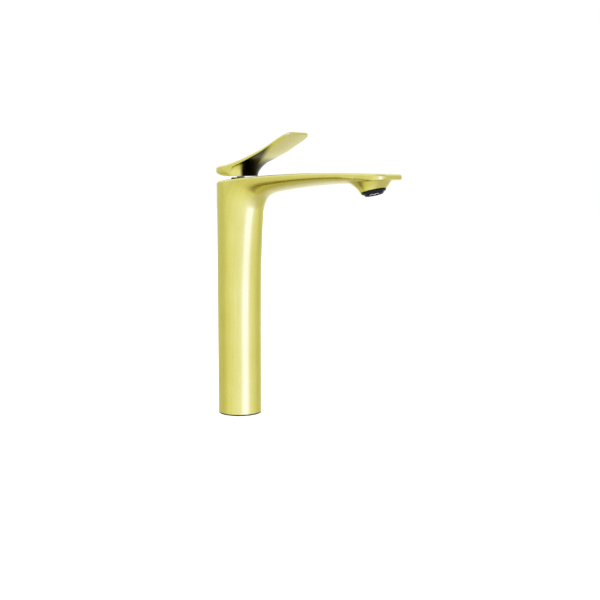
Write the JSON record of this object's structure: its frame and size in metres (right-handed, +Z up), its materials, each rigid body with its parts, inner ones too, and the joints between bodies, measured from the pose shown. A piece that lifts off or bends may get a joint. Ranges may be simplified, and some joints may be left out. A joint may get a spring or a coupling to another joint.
{
  "type": "bathroom mixer faucet",
  "caption": "Tall single-lever basin mixer in brushed gold: round column, long flat spout with a tilted black aerator, and a flat rising lever on top.",
  "frame": {"origin": "centre of the column's foot, on the deck surface", "axes": "+Z up along the column, +X forward along the spout, +Y to the hot side"},
  "size_m": [0.2115, 0.046, 0.293],
  "materials": {
    "brushed_gold": "brushed satin gold-coloured brass plating",
    "black_trim": "satin black moulded plastic",
    "black_rubber": "matt black rubber",
    "raw_brass": "machined brass, unplated",
    "steel": "machined stainless steel",
    "ceramic": "lapped alumina ceramic, smooth and hard",
    "white_plastic": "moulded acetal",
    "grey_plastic": "moulded acetal, dark grey",
    "red_plastic": "moulded red plastic"
  },
  "bodies": {
    "root": {"body_casting": "brushed_gold", "base_gasket": "black_rubber", "base_block_seal": "black_rubber", "base_block": "raw_brass", "riser_pipe_hot": "raw_brass", "riser_pipe_cold": "raw_brass", "cartridge_nut": "raw_brass", "base_retaining_ring": "steel", "pipe_seal_hot_lower": "black_rubber", "pipe_seal_hot_upper": "black_rubber", "pipe_seal_cold_lower": "black_rubber", "pipe_seal_cold_upper": "black_rubber", "port_seal_hot": "black_rubber", "port_seal_cold": "black_rubber", "port_seal_outlet": "black_rubber", "aerator_seal": "black_rubber", "cartridge_base": "white_plastic", "cartridge_housing": "white_plastic", "flow_regulator": "white_plastic", "fixed_disc": "ceramic", "aerator_insert": "grey_plastic", "aerator_screen": "grey_plastic", "temperature_limit_ring": "red_plastic", "trim_cap": "black_trim", "aerator_housing": "black_trim"},
    "rotor": {"spindle_guide": "white_plastic", "stem_pin": "steel"},
    "lever_body": {"lever": "brushed_gold", "stem": "steel", "lever_grub_screw": "steel", "lever_plug": "brushed_gold"},
    "disc_body": {"moving_disc": "ceramic", "disc_carrier": "grey_plastic"}
  },
  "joints": [
    {"name": "temperature_turn", "type": "hinge", "parent": "root", "child": "rotor", "pos_m": [0.003, 0, 0.225], "axis": [0, 0, 1], "range_deg": [-45, 45]},
    {"name": "lever_lift", "type": "hinge", "parent": "rotor", "child": "lever_body", "pos_m": [0.003, 0, 0.231], "axis": [0, -1, 0], "range_deg": [0, 14]},
    {"name": "disc_slide", "type": "slide", "parent": "rotor", "child": "disc_body", "axis": [1, 0, 0], "range_m": [0, 0.0024]}
  ],
  "couplings": [
    {"joint": "disc_slide", "follows": "lever_lift", "m_per_rad": 0.0092}
  ]
}
